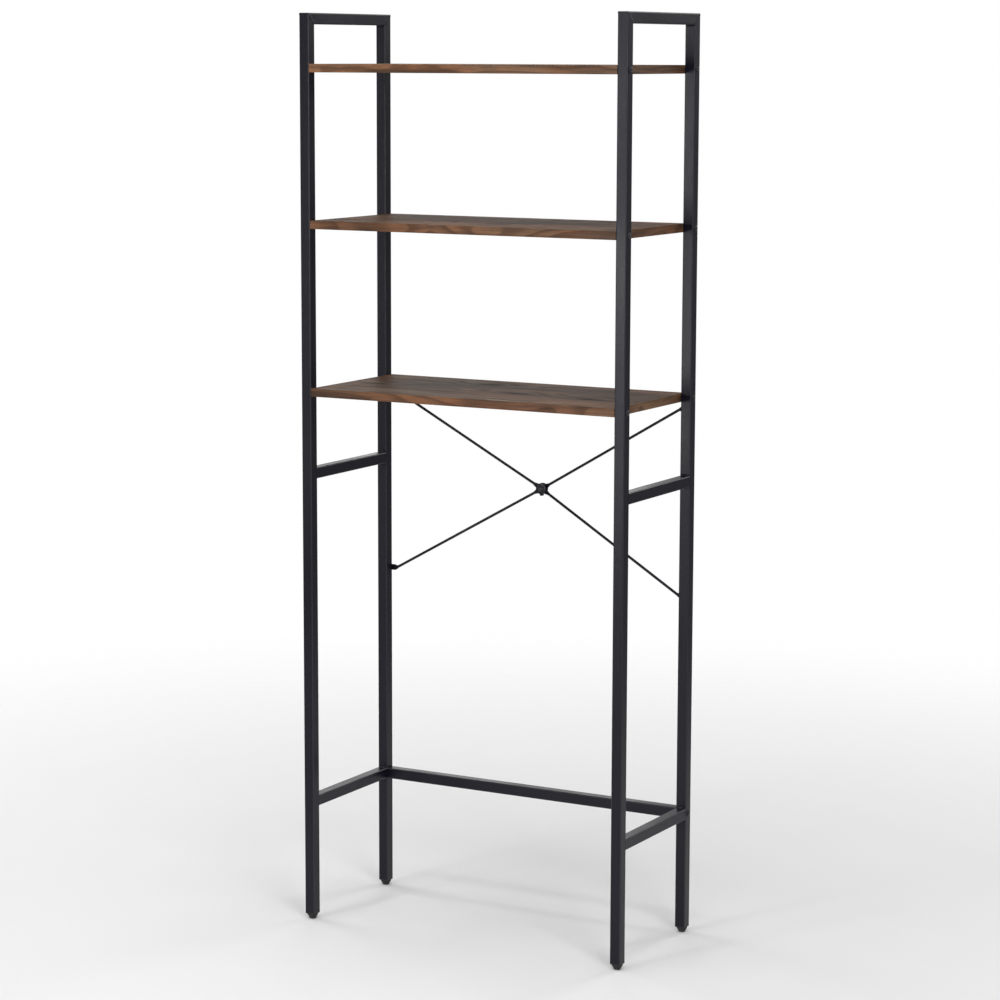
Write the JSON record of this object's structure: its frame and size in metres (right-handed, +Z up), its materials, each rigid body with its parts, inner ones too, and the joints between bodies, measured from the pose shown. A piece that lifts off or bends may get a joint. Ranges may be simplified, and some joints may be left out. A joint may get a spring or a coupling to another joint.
{
  "type": "over the toilet storage rack",
  "caption": "Free-standing metal and wood-look rack that stands over a toilet: two square-tube ladder sides, shelves above, a thin rear X brace, a crossbar and levelling feet.",
  "frame": {"origin": "on the floor under the middle of the whole rack's box, brace and bolt heads included", "axes": "+Z up, -Y the front where the toilet's user stands, +X to the right as seen from the front, along the shelves"},
  "size_m": [0.6556, 0.3196, 1.65],
  "materials": {
    "powder_coat": "matte black powder coat",
    "board_face": "matt printed wood-grain laminate, greyish brown",
    "board_edge": "matt wood-grain edge band, reddish brown",
    "black_screw": "black zinc, satin",
    "zinc_steel": "bright zinc plate",
    "brass": "plain turned brass",
    "foot_plastic": "black moulded plastic, slightly grained"
  },
  "bodies": {
    "rack": {"leg_front_left": "powder_coat", "leg_front_right": "powder_coat", "leg_rear_left": "powder_coat", "leg_rear_right": "powder_coat", "top_bar_left": "powder_coat", "top_bar_right": "powder_coat", "mid_rung_left": "powder_coat", "mid_rung_right": "powder_coat", "lower_rung_left": "powder_coat", "lower_rung_right": "powder_coat", "rear_crossbar": "powder_coat", "brace_rod_falling": "powder_coat", "brace_rod_rising": "powder_coat", "clamp_front": "powder_coat", "clamp_rear": "powder_coat", "crossbar_plugs": "zinc_steel", "clamp_nut": "zinc_steel", "brace_rivet_nuts": "zinc_steel", "crossbar_bolts": "black_screw", "bolts_top": "black_screw", "bolts_middle": "black_screw", "bolts_bottom": "black_screw", "clamp_screw": "black_screw", "brace_screws": "black_screw", "shelf_top": "board_face", "band_top": "board_edge", "inserts_top": "brass", "shelf_middle": "board_face", "band_middle": "board_edge", "inserts_middle": "brass", "shelf_bottom": "board_face", "band_bottom": "board_edge", "inserts_bottom": "brass", "foot_bushes": "brass", "foot_plug_front_left": "foot_plastic", "foot_plug_front_right": "foot_plastic", "foot_plug_rear_left": "foot_plastic", "foot_plug_rear_right": "foot_plastic"},
    "foot_front_left": {"foot_stem_front_left": "zinc_steel", "foot_pad_front_left": "foot_plastic"},
    "foot_front_right": {"foot_stem_front_right": "zinc_steel", "foot_pad_front_right": "foot_plastic"},
    "foot_rear_left": {"foot_stem_rear_left": "zinc_steel", "foot_pad_rear_left": "foot_plastic"},
    "foot_rear_right": {"foot_stem_rear_right": "zinc_steel", "foot_pad_rear_right": "foot_plastic"}
  },
  "joints": [
    {"name": "foot_front_left_screw", "type": "slide", "parent": "rack", "child": "foot_front_left", "axis": [0, 0, -1], "range_m": [0, 0.008]},
    {"name": "foot_front_right_screw", "type": "slide", "parent": "rack", "child": "foot_front_right", "axis": [0, 0, -1], "range_m": [0, 0.008]},
    {"name": "foot_rear_left_screw", "type": "slide", "parent": "rack", "child": "foot_rear_left", "axis": [0, 0, -1], "range_m": [0, 0.008]},
    {"name": "foot_rear_right_screw", "type": "slide", "parent": "rack", "child": "foot_rear_right", "axis": [0, 0, -1], "range_m": [0, 0.008]}
  ]
}
